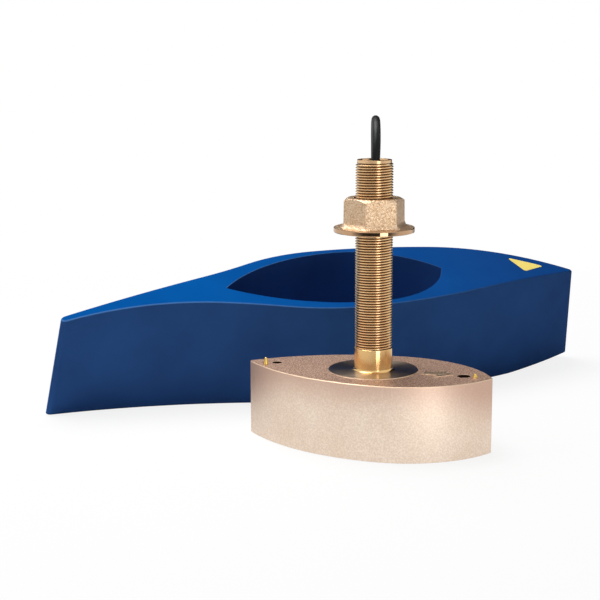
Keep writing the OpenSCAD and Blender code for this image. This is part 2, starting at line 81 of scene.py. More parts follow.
def add(tree, kind, inputs=None, **settings):
    """A new node of a material, with its settings, and its inputs as values or as links. Inputs go by
    name or by number: 1 to 4 of a Map Range are the range that it reads and the range that it gives,
    and 6 and 7 of a Mix are its two colours."""
    node = tree.nodes.new(kind)
    for name, value in settings.items():
        setattr(node, name, value)
    for name, value in (inputs or {}).items():
        if isinstance(value, bpy.types.NodeSocket):
            tree.links.new(value, node.inputs[name])
        else:
            node.inputs[name].default_value = value
    return node


def new_material(name):
    """An empty material: its node tree, its shader and the piece's own coordinates."""
    material = bpy.data.materials.new(name)
    material.use_nodes = True
    tree = material.node_tree
    shader = tree.nodes["Principled BSDF"]
    place = add(tree, "ShaderNodeTexCoord").outputs["Object"]
    return material, tree, shader, place


# The routes are in millimetres, and the coil's places and jogs are in degrees round it.
cable_d = 7.5 * MM
cable_route = [
    (0, 0, 238), (1, 0, 253), (-0.3, 6.5, 269.5), (-4.6, 21, 282.5), (-10.2, 39, 287),
    (-16, 57.5, 283), (-20.5, 73, 272), (-23.5, 84, 257), (-26.5, 94.5, 240.5), (-31.5, 111.5, 227),
    (-37, 129.5, 214.5), (-42.5, 148.5, 203), (-48, 169, 192.5), (-54, 190, 183), (-60, 211.5, 174),
    (-66, 232.5, 165), (-71, 251.5, 156.5), (-76, 269, 147), (-80.5, 283, 134.5), (-85, 294.5, 118.5),
    (-89.5, 303, 101.5), (-94, 309.5, 83.5), (-99.5, 315.5, 65.5), (-107, 322, 48.5), (-117, 330, 33.5),
    (-129.5, 339.5, 21.5), (-144, 350.5, 12.5), (-160, 363, 7.5), (-175.5, 376, 5.5), (-190.5, 387.5, 5),
]
cable_end_route = [
    (-310.5, 317, 27.5), (-311, 302, 27), (-311.5, 287, 24.5), (-312, 272, 20), (-312.5, 257.5, 15),
    (-313, 244, 11.5), (-313, 235, 11), (-313, 226, 11),
]
coil_low, coil_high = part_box("cable_coil")
coil_middle = (coil_low + coil_high) / 2
coil_columns, coil_layers = 5, 4
coil_outer_r = (coil_high.x - coil_low.x) / 2 - cable_d / 2
coil_first_z = coil_low.z + cable_d / 2
coil_start, coil_end, coil_step, jog = 63, 178, 15, 40


def eased(share):
    """A smooth step from 0 to 1."""
    share = min(max(share, 0), 1)
    return share * share * (3 - 2 * share)


# In each layer the cable jogs from one turn to the next at the same place, a short way before the
# climb to the next layer, so that no turn lies in another.
jogs, climbs = [], []
for layer in range(coil_layers):
    first_jog = 360 * ((coil_columns - 1) * layer + layer + 1) - jog * (2 * layer + 1)
    jogs += [(first_jog + 360 * i, -1 if layer % 2 == 0 else 1) for i in range(coil_columns - 1)]
    climbs.append(first_jog + 360 * (coil_columns - 1) - jog)
last_jog_end = jogs[-1][0] + jog
coil_sweep = coil_end - coil_start
while coil_sweep < last_jog_end:
    coil_sweep += 360
coil_points = []
for swept in range(coil_step, int(coil_sweep), coil_step):
    r = coil_outer_r + cable_d * sum(way * eased((swept - at) / jog) for at, way in jogs)
    z = coil_first_z + cable_d * sum(eased((swept - at) / jog) for at in climbs[:-1])
    angle = math.radians(coil_start + swept)
    coil_points.append((coil_middle.x + r * math.cos(angle), coil_middle.y + r * math.sin(angle), z))
cable_points = [Vector(p) * MM for p in cable_route] + [Vector(p) for p in coil_points]
cable_points += [Vector(p) * MM for p in cable_end_route]
cable_curve = bpy.data.curves.new("cable_line", "CURVE")
cable_curve.dimensions = "3D"
cable_curve.bevel_depth = cable_d / 2
cable_curve.bevel_resolution = 5
cable_curve.use_fill_caps = True
cable_spline = cable_curve.splines.new("BEZIER")
cable_spline.resolution_u = 4
cable_spline.bezier_points.add(len(cable_points) - 1)
for knot, point in zip(cable_spline.bezier_points, cable_points):
    knot.co = point
    knot.handle_left_type = knot.handle_right_type = "AUTO"
cable_line = bpy.data.objects.new("cable_line", cable_curve)
scene.collection.objects.link(cable_line)

# Extruded PVC jacket: near black, satin, with a faint waviness that breaks up its highlight.
jacket_wave = 4 * MM
jacket, tree, shader, place = new_material("pvc_jacket")
jacket_waves = add(tree, "ShaderNodeTexNoise", {"Vector": place, "Scale": 1 / jacket_wave, "Detail": 3.0})
tree.links.new(
    add(tree, "ShaderNodeMapRange", {0: jacket_waves.outputs[0], 3: 0.32, 4: 0.46}).outputs[0],
    shader.inputs["Roughness"])
tree.links.new(
    add(tree, "ShaderNodeMix", {0: jacket_waves.outputs[0], 6: linear("#060707"), 7: linear("#101112")},
        data_type="RGBA").outputs[2],
    shader.inputs["Base Color"])
jacket_relief = add(tree, "ShaderNodeBump", {
    "Height": jacket_waves.outputs[0], "Strength": 0.12, "Distance": 0.2 * MM})
tree.links.new(jacket_relief.outputs[0], shader.inputs["Normal"])
shader.inputs["Specular IOR Level"].default_value = 0.16
cable_curve.materials.append(jacket)
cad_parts["stem_lead"].data.materials.clear()
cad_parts["stem_lead"].data.materials.append(jacket)
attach(cable_line, "transducer")
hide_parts("cable", "cable_coil", "cable_end")

# Studio: a white floor and a white surround, a broad soft box overhead, a weak one in front and a tall
# one on the right of the camera. A lit card for the line of light down the stem and two dark cards, which
# stand for the dark of a studio round a lit table, are seen by reflections alone.
floor_drop = 0.3 * MM
bpy.ops.mesh.primitive_plane_add(size=40, location=(0, 0, -floor_drop))
floor = bpy.context.object
floor.name = "floor"


def seen_share(tree):
    """1 where a ray comes from the camera, a mirror or glass, and 0 for light that falls on things."""
    path = add(tree, "ShaderNodeLightPath")
    seen = path.outputs["Is Camera Ray"]
    for kind in ("Is Glossy Ray", "Is Transmission Ray"):
        seen = add(tree, "ShaderNodeMath", {0: seen, 1: path.outputs[kind]}, operation="MAXIMUM").outputs[0]
    return seen


# White paper: it glows white to the eye, only a little less near the object, where it takes shadow.
shadow_near, shadow_far, near_glow = 0.35, 1.1, 0.84
paper, tree, shader, place = new_material("white_paper")
shader.inputs["Base Color"].default_value = linear("#f4f4f4")
shader.inputs["Roughness"].default_value = 0.9
shader.inputs["Specular IOR Level"].default_value = 0.0
away = add(tree, "ShaderNodeVectorMath", {0: place}, operation="LENGTH")
far = add(tree, "ShaderNodeMapRange", {
    0: away.outputs["Value"], 1: shadow_near, 2: shadow_far, 3: near_glow, 4: 1.0})
glow_share = add(tree, "ShaderNodeMath", {0: seen_share(tree), 1: far.outputs[0]}, operation="MULTIPLY")
glow = add(tree, "ShaderNodeEmission", {"Color": (1, 1, 1, 1), "Strength": 1.0})
mixed = add(tree, "ShaderNodeMixShader", {
    0: glow_share.outputs[0], 1: shader.outputs[0], 2: glow.outputs[0]})
tree.links.new(mixed.outputs[0], tree.nodes["Material Output"].inputs["Surface"])
floor.data.materials.append(paper)

# The surround is white to the eye and lights the object only weakly.
surround_light = 0.14
surround = bpy.data.worlds.new("surround")
scene.world = surround
surround.use_nodes = True
tree = surround.node_tree
level = add(tree, "ShaderNodeMapRange", {0: seen_share(tree), 3: surround_light, 4: 1.0})
tree.nodes["Background"].inputs["Color"].default_value = (1, 1, 1, 1)
tree.links.new(level.outputs[0], tree.nodes["Background"].inputs["Strength"])


def soft_box(name, at, aim, size, size_y, power, glossy=True, diffuse=True):
    """A rectangular area lamp that looks from one point to another."""
    bpy.ops.object.light_add(type="AREA", location=at)
    lamp = bpy.context.object
    lamp.name = name
    lamp.data.shape = "RECTANGLE"
    lamp.data.size, lamp.data.size_y = size, size_y
    lamp.data.energy = power
    lamp.visible_glossy = glossy
    lamp.visible_diffuse = diffuse
    lamp.visible_camera = False
    lamp.rotation_euler = (Vector(aim) - Vector(at)).to_track_quat("-Z", "Y").to_euler()


soft_box("top_box", at=(-0.55, 0.2, 1.75), aim=(-0.1, 0.15, 0.1), size=1.5, size_y=1.2, power=36)
soft_box("front_box", at=(0.3, -1.6, 0.9), aim=(-0.05, 0.1, 0.1), size=1.4, size_y=1.0, power=5,
         glossy=False)
soft_box("side_box", at=(1.08, -1.12, 0.55), aim=(0, 0, 0.2), size=0.32, size_y=1.0, power=2.5,
         diffuse=False)

# Lit paper: a card that lies on the table and narrows towards the stem, so that the line of light
# down the stem has the same width all the way.
lit_turn, lit_half_angle = math.radians(-46), math.radians(11)
lit_near, lit_far, lit_z, lit_glow = 0.26, 1.7, 4 * MM, 4.2
bpy.ops.mesh.primitive_plane_add(size=2, location=(0, 0, lit_z), rotation=(0, 0, lit_turn))
lit_card = bpy.context.object
lit_card.name = "lit_card"
for vertex in lit_card.data.vertices:
    vertex.co.x = lit_near if vertex.co.x < 0 else lit_far
    vertex.co.y *= vertex.co.x * math.tan(lit_half_angle)
lit_card.visible_camera = lit_card.visible_diffuse = lit_card.visible_shadow = False
lit_paper, tree = new_material("lit_paper")[:2]
glow = add(tree, "ShaderNodeEmission", {"Color": (1, 1, 1, 1), "Strength": lit_glow})
tree.links.new(glow.outputs[0], tree.nodes["Material Output"].inputs["Surface"])
lit_card.data.materials.append(lit_paper)

# Black felt: dark in the middle of a card and fading to nothing at its edges.
felt, tree, shader, place = new_material("black_felt")
shader.inputs["Base Color"].default_value = linear("#241f1c")
shader.inputs["Roughness"].default_value = 0.95
shader.inputs["Specular IOR Level"].default_value = 0.0
reach = add(tree, "ShaderNodeVectorMath", {0: place}, operation="LENGTH")
fade = add(tree, "ShaderNodeMapRange", {0: reach.outputs["Value"], 1: 0.5, 2: 1.0, 3: 1.0, 4: 0.0})
tree.links.new(fade.outputs[0], shader.inputs["Alpha"])


def dark_card(name, at, half_w, half_h, lean):
    """A felt card that only mirrors see, turned with the camera and tilted up from the table."""
    bpy.ops.mesh.primitive_plane_add(size=2, location=at)
    card = bpy.context.object
    card.name = name
    card.scale = (half_w, half_h, 1)
    card.rotation_euler = (lean, 0, camera_turn)
    card.visible_camera = card.visible_diffuse = card.visible_shadow = False
    card.data.materials.append(felt)


dark_card("front_card", at=(0.5, -1.5, 0.002), half_w=3.4, half_h=1.25, lean=0)
dark_card("back_card", at=(0.1, 1.0, 0.62), half_w=1.1, half_h=0.8, lean=math.pi / 2)

# Housing: a sand-cast bronze body with a leaf-shaped plan, machined only on the seat round the stem.
# The copy of the model's own solid keeps every hole and the bow arrow, loses the plain cylinder that
# stands for the thread, and gets the small rounds of a casting and a seat that stands a little proud.
housing_top = 67.4 * MM
shank_top = 88.4 * MM
shank_cut = shank_top - 0.3 * MM
seat_r, seat_z = 40 * MM, 66.6 * MM
seat_top, fillet_top = 68.0 * MM, 69.0 * MM
outer_round, inner_round = 0.8 * MM, 0.2 * MM
wall_least = 50 * MM
screw_holes = [(-91 * MM, 4.5 * MM), (82.5 * MM, 5.75 * MM)]
screw_hole_depth = 10 * MM
smooth_angle, sharp_angle = math.radians(30), math.radians(35)
doubles, touching, hair, slack = 0.002 * MM, 0.001 * MM, 0.01 * MM, 0.1 * MM


def copy_of(node, name):
    """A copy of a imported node's mesh with its doubles merged and its flat faces joined."""
    bpy.ops.object.select_all(action="DESELECT")
    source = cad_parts[node]
    piece = bpy.data.objects.new(name, source.data.copy())
    piece.data.name = name
    piece.data.materials.clear()
    scene.collection.objects.link(piece)
    piece.select_set(True)
    bpy.context.view_layer.objects.active = piece
    bpy.ops.object.mode_set(mode="EDIT")
    bpy.ops.mesh.select_mode(type="EDGE")
    bpy.ops.mesh.select_all(action="SELECT")
    bpy.ops.mesh.remove_doubles(threshold=doubles)
    bpy.ops.mesh.customdata_custom_splitnormals_clear()
    bpy.ops.mesh.dissolve_limited(angle_limit=math.radians(0.2))
    bpy.ops.object.mode_set(mode="OBJECT")
    return piece


def even_shading(piece):
    """Smooth shading between close faces, with the large flat faces kept flat."""
    bpy.ops.object.select_all(action="DESELECT")
    piece.select_set(True)
    bpy.context.view_layer.objects.active = piece
    bpy.ops.object.shade_smooth_by_angle(angle=smooth_angle)
    weights = piece.modifiers.new("weights", "WEIGHTED_NORMAL")
    weights.keep_sharp = True
    bpy.ops.object.modifier_apply(modifier="weights")


housing = copy_of("housing", "housing_casting")
bpy.ops.object.mode_set(mode="EDIT")
bpy.ops.mesh.select_all(action="SELECT")
bpy.ops.mesh.bisect(
    plane_co=(0, 0, shank_cut), plane_no=(0, 0, 1), use_fill=True, clear_outer=True, threshold=touching)


def tall(face):
    """A face of the outer wall, which runs from the sounding face to the top."""
    heights = [vertex.co.z for vertex in face.verts]
    return max(heights) - min(heights) > wall_least


solid = bmesh.from_edit_mesh(housing.data)
for vertex in solid.verts:
    r, z = vertex.co.to_2d().length, vertex.co.z
    on_seat = r < seat_r + hair and abs(z - seat_z) < hair
    if on_seat or (r < seat_r - MM and seat_z < z < fillet_top + hair):
        vertex.co.z += seat_top - seat_z
bmesh.update_edit_mesh(housing.data)
for outer, width in ((True, outer_round), (False, inner_round)):
    bpy.ops.mesh.select_all(action="DESELECT")
    bpy.ops.mesh.edges_select_sharp(sharpness=sharp_angle)
    solid = bmesh.from_edit_mesh(housing.data)
    for edge in solid.edges:
        low = min(vertex.co.z for vertex in edge.verts)
        high = max(vertex.co.z for vertex in edge.verts)
        on_wall = any(tall(face) for face in edge.link_faces)
        if outer:
            wanted = on_wall and (low > housing_top - MM or high < MM)
        else:
            wanted = low > housing_top - slack and high < seat_top + 3 * slack and not on_wall
        if edge.select and not wanted:
            edge.select_set(False)
    bmesh.update_edit_mesh(housing.data)
    bpy.ops.mesh.bevel(offset=width, segments=3, affect="EDGES")
bpy.ops.object.mode_set(mode="OBJECT")
even_shading(housing)

# Stem thread: a 1-inch parallel pipe thread cut on the same casting, so it joins the housing. One pitch
# of its profile is traced and screwed up the stem, then the mouth is chamfered and the bore drawn down
# inside it.
pitch = 2.309 * MM
thread_depth = 0.64 * pitch
crest_round = 0.06 * MM
stem_r, stem_bore_r = 16.625 * MM, 11.5 * MM
stem_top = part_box("housing")[1].z
thread_start = shank_top - 2 * pitch
thread_foot = thread_start + 1.5 * pitch
mouth_chamfer, mouth_h, mouth_flare = 1.4 * MM, 2.4 * MM, 0.5 * MM
thread_profile = [(0, 1, 0), (0.09, 1, -1), (0.4, 0, 1), (0.5, 0, 0), (0.6, 0, 1), (0.91, 1, -1), (1, 1, 0)]


def traced(name, points):
    """A new piece that is one line of vertices, each extruded from the one before."""
    bpy.ops.object.select_all(action="DESELECT")
    bpy.ops.mesh.primitive_plane_add(size=MM)
    piece = bpy.context.object
    piece.name = piece.data.name = name
    bpy.ops.object.mode_set(mode="EDIT")
    bpy.ops.mesh.select_mode(type="VERT")
    bpy.ops.mesh.merge(type="CENTER")
    bpy.ops.transform.translate(value=points[0])
    for start, end in zip(points, points[1:]):
        bpy.ops.mesh.extrude_vertices_move(
            TRANSFORM_OT_translate={"value": Vector(end) - Vector(start)})
    bpy.ops.object.mode_set(mode="OBJECT")
    return piece


thread = traced("stem_thread", [
    (stem_r - depth * thread_depth - side * crest_round, 0, thread_start + share * pitch)
    for share, depth, side in thread_profile])
winding = thread.modifiers.new("winding", "SCREW")
winding.axis = "Z"
winding.screw_offset = pitch
winding.iterations = math.ceil((stem_top - thread_start) / pitch) + 1
winding.steps = winding.render_steps = 72
winding.use_merge_vertices = True
winding.merge_threshold = doubles
bpy.ops.object.modifier_apply(modifier="winding")
bpy.ops.object.mode_set(mode="EDIT")
bpy.ops.mesh.select_mode(type="EDGE")
bpy.ops.mesh.select_all(action="SELECT")
bpy.ops.mesh.remove_doubles(threshold=doubles)
bpy.ops.mesh.bisect(plane_co=(0, 0, stem_top), plane_no=(0, 0, 1), clear_outer=True, threshold=touching)
bpy.ops.mesh.select_all(action="SELECT")
bpy.ops.mesh.bisect(plane_co=(0, 0, thread_foot), plane_no=(0, 0, 1), clear_inner=True, threshold=touching)
bpy.ops.mesh.select_all(action="SELECT")
bpy.ops.mesh.bisect(plane_co=(0, 0, stem_top - mouth_h), plane_no=(0, 0, 1), threshold=touching)
sheet = bmesh.from_edit_mesh(thread.data)
for vertex in sheet.verts:
    r = vertex.co.to_2d().length
    above = vertex.co.z - (stem_top - mouth_h - mouth_chamfer)
    most = stem_r - min(max(0, above), mouth_chamfer)
    if r > most or above > mouth_chamfer:
        vertex.co.xy *= most / r
for edge in sheet.edges:
    edge.select_set(edge.is_boundary and all(abs(v.co.z - stem_top) < hair for v in edge.verts))
bmesh.update_edit_mesh(thread.data)
for bore_z in (stem_top, stem_top - mouth_chamfer, thread_foot):
    bpy.ops.mesh.extrude_edges_move()
    sheet = bmesh.from_edit_mesh(thread.data)
    for vertex in sheet.verts:
        if vertex.select:
            widened = mouth_flare if bore_z == stem_top else 0
            vertex.co.xy *= (stem_bore_r + widened) / vertex.co.to_2d().length
            vertex.co.z = bore_z
    bmesh.update_edit_mesh(thread.data)
sheet = bmesh.from_edit_mesh(thread.data)
for edge in sheet.edges:
    edge.select_set(edge.is_boundary)
bmesh.update_edit_mesh(thread.data)
bpy.ops.mesh.bridge_edge_loops()
bpy.ops.mesh.select_all(action="SELECT")
bpy.ops.mesh.normals_make_consistent(inside=False)
bpy.ops.object.mode_set(mode="OBJECT")
bpy.ops.object.shade_smooth_by_angle(angle=smooth_angle)

# Sand-cast bronze: pinkish tan, dull, with broad patches of tone and the grain of the sand, which is
# drawn coarser than it is so that it shows. It is browner towards the top and the tips as painted shade.
patch, sand_grain = 26 * MM, 1.4 * MM
cast_bronze, tree, shader, place = new_material("sand_cast_bronze")
patches = add(tree, "ShaderNodeTexNoise", {"Vector": place, "Scale": 1 / patch, "Detail": 3.0})
sand = add(tree, "ShaderNodeTexNoise", {
    "Vector": place, "Scale": 1 / sand_grain, "Detail": 3.0, "Roughness": 0.6})
tone = add(tree, "ShaderNodeMix", {0: patches.outputs[0], 6: linear("#e9d4c0"), 7: linear("#f6e8d8")},
           data_type="RGBA")
specks = add(tree, "ShaderNodeMapRange", {0: sand.outputs[0], 1: 0.42, 2: 0.62, 3: 0.6, 4: 1.0})
grit = add(tree, "ShaderNodeMix", {0: specks.outputs[0], 6: linear("#c9ae99"), 7: tone.outputs[2]},
           data_type="RGBA")
# Painted shade: the tone turns browner towards the top and towards both tips.
spot = add(tree, "ShaderNodeSeparateXYZ", {0: place})
to_tip = add(tree, "ShaderNodeMath", {0: spot.outputs[0]}, operation="ABSOLUTE")
near_tip = add(tree, "ShaderNodeMapRange", {
    0: to_tip.outputs[0], 1: 70 * MM, 2: 112 * MM, 3: 0.0, 4: 22 * MM})
painted_shade_share = add(tree, "ShaderNodeMath", {0: spot.outputs[2], 1: near_tip.outputs[0]}, operation="ADD")
painted_shade_share = add(tree, "ShaderNodeMapRange", {0: painted_shade_share.outputs[0], 1: 36 * MM, 2: 78 * MM, 3: 0.0, 4: 0.7},
           interpolation_type="SMOOTHSTEP")
grit = add(tree, "ShaderNodeMix", {0: painted_shade_share.outputs[0], 6: grit.outputs[2], 7: linear("#bd9480")},
           data_type="RGBA")
# Painted shade: upward faces take a darker tone. Its coarse speckle is the casting's grain.
bare = add(tree, "ShaderNodeNewGeometry")
upward = add(tree, "ShaderNodeSeparateXYZ", {0: bare.outputs["Normal"]})
coarse = add(tree, "ShaderNodeMapRange", {0: sand.outputs[0], 1: 0.42, 2: 0.57, 3: 0.0, 4: 1.0})
shaded_top_grain = add(tree, "ShaderNodeMix", {0: coarse.outputs[0], 6: linear("#73503e"), 7: linear("#d2b29d")},
           data_type="RGBA")
top_share = add(tree, "ShaderNodeMapRange", {0: upward.outputs[2], 1: 0.8, 2: 0.95, 3: 0.0, 4: 0.85})
skin = add(tree, "ShaderNodeMix", {0: top_share.outputs[0], 6: grit.outputs[2], 7: shaded_top_grain.outputs[2]},
           data_type="RGBA")
tree.links.new(skin.outputs[2], shader.inputs["Base Color"])
shader.inputs["Metallic"].default_value = 1.0
dull = add(tree, "ShaderNodeMapRange", {0: sand.outputs[0], 3: 0.42, 4: 0.62})
tree.links.new(dull.outputs[0], shader.inputs["Roughness"])
rough = add(tree, "ShaderNodeBump", {"Height": sand.outputs[0], "Strength": 0.6, "Distance": 0.25 * MM})
tree.links.new(rough.outputs[0], shader.inputs["Normal"])

# Lathe rings are drawn 6.9 mm apart, far coarser than a tool leaves them, because finer ones don't show.
# The wave texture turns through 20 radians in a unit of length.
ring_gap, wave_radians = 6.912 * MM, 20
ring_scale = 2 * math.pi / (wave_radians * ring_gap)
wear_patch = 9 * MM


def lathe_finish(name, dark, light, smoothest, roughest):
    """Bronze off the lathe: two close tones, and the rings that the tool leaves round the axis."""
    material, tree, shader, place = new_material(name)
    rings = add(tree, "ShaderNodeTexWave", {
        "Vector": place, "Scale": ring_scale, "Distortion": 0.6, "Detail": 2.0},
        wave_type="RINGS", rings_direction="Z")
    wear = add(tree, "ShaderNodeTexNoise", {"Vector": place, "Scale": 1 / wear_patch, "Detail": 3.0})
    tone = add(tree, "ShaderNodeMix", {0: wear.outputs[0], 6: linear(dark), 7: linear(light)},
               data_type="RGBA")
    tree.links.new(tone.outputs[2], shader.inputs["Base Color"])
    shader.inputs["Metallic"].default_value = 1.0
    polish = add(tree, "ShaderNodeMapRange", {0: wear.outputs[0], 3: smoothest, 4: roughest})
    tree.links.new(polish.outputs[0], shader.inputs["Roughness"])
    lathe = add(tree, "ShaderNodeBump", {"Height": rings.outputs[1], "Strength": 0.05, "Distance": 0.1 * MM})
    tree.links.new(lathe.outputs[0], shader.inputs["Normal"])
    around = add(tree, "ShaderNodeVectorMath", {0: (0, 0, 1), 1: place}, operation="CROSS_PRODUCT")
    tree.links.new(around.outputs[0], shader.inputs["Tangent"])
    shader.inputs["Anisotropic"].default_value = 0.8
    shader.inputs["Anisotropic Rotation"].default_value = 0.25
    return material


# Turned bronze: golden and bright, on the shank. Faced bronze: duller and browner, on the seat, which a
# broad tool has faced. Rubbed bronze: pale, on the edges and the mouth that hands and tools rub.
turned_bronze = lathe_finish("turned_bronze", "#d4a86c", "#eac68c", 0.12, 0.2)
faced_bronze = lathe_finish("faced_bronze", "#ab937c", "#c6b19b", 0.25, 0.34)
rubbed_bronze = lathe_finish("rubbed_bronze", "#d4b79b", "#e6cdb3", 0.42, 0.54)
mouth_bronze = lathe_finish("rubbed_mouth_bronze", "#d3a878", "#e6c49a", 0.28, 0.38)

# Threaded bronze: the turned bronze with its roots darkened as painted shade.
root_top = stem_r - 0.6 * thread_depth
thread_bronze, tree, shader, place = new_material("threaded_bronze")
flat = add(tree, "ShaderNodeVectorMath", {0: place, 1: (1, 1, 0)}, operation="MULTIPLY")
out = add(tree, "ShaderNodeVectorMath", {0: flat.outputs[0]}, operation="LENGTH")
height = add(tree, "ShaderNodeMapRange", {
    0: out.outputs["Value"], 1: stem_r - thread_depth, 2: root_top, 3: 0.0, 4: 1.0})
wear = add(tree, "ShaderNodeTexNoise", {"Vector": place, "Scale": 1 / wear_patch, "Detail": 3.0})
gold = add(tree, "ShaderNodeMix", {0: wear.outputs[0], 6: linear("#e6c293"), 7: linear("#f6dcb4")},
           data_type="RGBA")
painted_root_shade = add(tree, "ShaderNodeMix", {0: height.outputs[0], 6: linear("#543419"), 7: gold.outputs[2]},
           data_type="RGBA")
tree.links.new(painted_root_shade.outputs[2], shader.inputs["Base Color"])
shader.inputs["Metallic"].default_value = 1.0
shader.inputs["Roughness"].default_value = 0.24

# Hole shade bronze: the same casting painted near black inside the screw holes, as painted shade.
shade_mottle_patch = 2 * MM
hole_shade_bronze, tree, shader, place = new_material("painted_hole_shade")
shade_mottle = add(tree, "ShaderNodeTexNoise", {"Vector": place, "Scale": 1 / shade_mottle_patch, "Detail": 3.0})
tone = add(tree, "ShaderNodeMix", {0: shade_mottle.outputs[0], 6: linear("#1c1512"), 7: linear("#3a2c22")},
           data_type="RGBA")
tree.links.new(tone.outputs[2], shader.inputs["Base Color"])
shader.inputs["Metallic"].default_value = 1.0
shader.inputs["Roughness"].default_value = 0.6

# Rubbed cast bronze: the same casting with its high spots rubbed bright, so that it glitters where it
# faces a light and looks even where it doesn't. It is on the raised arrow and on the nut, and its grain
# is drawn coarser than it is, as the sand's is.
rubbed_grain = 1.3 * MM
nut_bronze, tree, shader, place = new_material("rubbed_cast_bronze")
sand = add(tree, "ShaderNodeTexNoise", {
    "Vector": place, "Scale": 1 / rubbed_grain, "Detail": 2.0, "Roughness": 0.6})
wear = add(tree, "ShaderNodeTexNoise", {"Vector": place, "Scale": 1 / wear_patch, "Detail": 2.0})
tone = add(tree, "ShaderNodeMix", {0: wear.outputs[0], 6: linear("#ccac88"), 7: linear("#dfc8ad")},
           data_type="RGBA")
specks = add(tree, "ShaderNodeMapRange", {0: sand.outputs[0], 1: 0.36, 2: 0.55, 3: 0.0, 4: 1.0})
grit = add(tree, "ShaderNodeMix", {0: specks.outputs[0], 6: linear("#b5916e"), 7: tone.outputs[2]},
           data_type="RGBA")
tree.links.new(grit.outputs[2], shader.inputs["Base Color"])
shader.inputs["Metallic"].default_value = 1.0
dull = add(tree, "ShaderNodeMapRange", {0: sand.outputs[0], 3: 0.4, 4: 0.26})
tree.links.new(dull.outputs[0], shader.inputs["Roughness"])
rough = add(tree, "ShaderNodeBump", {"Height": sand.outputs[0], "Strength": 1.0, "Distance": 0.8 * MM})
tree.links.new(rough.outputs[0], shader.inputs["Normal"])

# Each face of the casting gets its finish by where it lies: the seat and the shank, the arrow, the rounds
# along the edges, and the screw holes.
edge_reach, round_reach = 0.3 * MM, 1.3 * MM
for finish in (cast_bronze, turned_bronze, faced_bronze, rubbed_bronze, hole_shade_bronze, nut_bronze):
    housing.data.materials.append(finish)
CAST, TURNED, FACED, RUBBED, HOLE_SHADE, ARROW = range(6)
for face in housing.data.polygons:
    corners = [housing.data.vertices[i].co for i in face.vertices]
    farthest = max(corner.xy.length for corner in corners)
    lowest = min(corner.z for corner in corners)
    highest = max(corner.z for corner in corners)
    face.material_index = CAST
    if farthest < seat_r + edge_reach and lowest > housing_top - slack:
        face.material_index = TURNED if highest > seat_top + slack / 2 else FACED
        if farthest > seat_r - edge_reach and face.normal.z < 0.9:
            face.material_index = RUBBED
    elif lowest > housing_top + 2 * slack:
        face.material_index = ARROW
    elif lowest > housing_top - round_reach and 0.2 < face.normal.z < 0.985:
        face.material_index = RUBBED
    # Painted shade: faces inside the screw holes get the near black finish.
    for hole_x, hole_r in screw_holes:
        off = max(math.hypot(corner.x - hole_x, corner.y) for corner in corners)
        if off < hole_r + slack / 2 and lowest > housing_top - screw_hole_depth:
            face.material_index = HOLE_SHADE
thread.data.materials.append(thread_bronze)
thread.data.materials.append(mouth_bronze)
for face in thread.data.polygons:
    face.material_index = int(face.center.z > stem_top - mouth_h)
for piece in (housing, thread):
    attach(piece, "transducer")
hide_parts("housing")
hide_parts("housing")

# Hull nut: cast and turned bronze, a chamfered hexagon whose foot flares into a round flange. It is
# screwed down the stem against the inside of the hull, so it is a body of its own. Its loops are drawn
# in millimetres, with more points near the hexagon's corners.
nut_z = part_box("hull_nut")[0].z / MM
nut_h, flange_r, flange_t, hex_half, nut_bore_r, hex_turn = 30, 35.65, 4.2, 24, 16.925, 30
bore_chamfer, foot_round, rim_round, rim_support = 1, 0.5, 0.6, 0.15
cone_r, cone_h, cone_slope, cone_steps = 23.4, 4.2, 1.6, 12
corner_r, hex_draft = 1.0, 0.1

# The flare from the flange up to the hexagon: how far over the flange, how far out from the flats, and
# the radius that cuts off the corners.
flare = [(0.2, 3.6, 30), (0.6, 2.9, 29.5), (1.8, 1.8, 28.6), (3.3, 0.7, None), (4.7, hex_draft, None)]
near_corner = [0.6, 1.2, 1.9, 3, 6, 10, 14, 18, 22, 26]
corner_steps = [-step for step in reversed(near_corner)] + [0] + near_corner + [30]
nut_angles = [math.radians(hex_turn + 60 * side + step) for side in range(6) for step in corner_steps]


def hexagon(half, angle):
    """Distance from the axis to a hexagon with a little round on its corners."""
    from_corner = math.remainder(angle - math.radians(hex_turn), math.pi / 3)
    flat = half / math.cos(math.pi / 6 - abs(from_corner))
    centre = (half - corner_r) / math.cos(math.pi / 6)
    inside = corner_r**2 - (centre * math.sin(from_corner)) ** 2
    if inside < 0:
        return flat
    return min(flat, centre * math.cos(from_corner) + math.sqrt(inside))


def nut_loop(z, half=None, r=None, most=None):
    """One loop round the nut: a circle, or a hexagon that a cone may cut off."""
    loop = []
    for angle in nut_angles:
        reach = r if half is None else hexagon(half, angle)
        if most is not None:
            reach = min(reach, most)
        loop.append((reach * math.cos(angle), reach * math.sin(angle), nut_z + z))
    return loop


nut_loops = [
    nut_loop(0, r=nut_bore_r + bore_chamfer),
    nut_loop(0, r=flange_r - foot_round),
    nut_loop(0.3 * foot_round, r=flange_r - 0.3 * foot_round),
    nut_loop(foot_round, r=flange_r),
    nut_loop(foot_round + rim_support, r=flange_r),
    nut_loop(flange_t - rim_round - rim_support, r=flange_r),
    nut_loop(flange_t - rim_round, r=flange_r),
    nut_loop(flange_t - rim_round / 3, r=flange_r - rim_round / 3),
    nut_loop(flange_t, r=flange_r - rim_round)]
nut_loops += [nut_loop(flange_t + up, half=hex_half + out, most=most) for up, out, most in flare]
for step in range(cone_steps + 1):
    z = nut_h - cone_h + cone_h * step / cone_steps
    nut_loops.append(nut_loop(z, half=hex_half - hex_draft, most=cone_r + cone_slope * (nut_h - z)))
nut_loops += [
    nut_loop(nut_h, r=nut_bore_r + bore_chamfer), nut_loop(nut_h - bore_chamfer, r=nut_bore_r),
    nut_loop(bore_chamfer, r=nut_bore_r)]


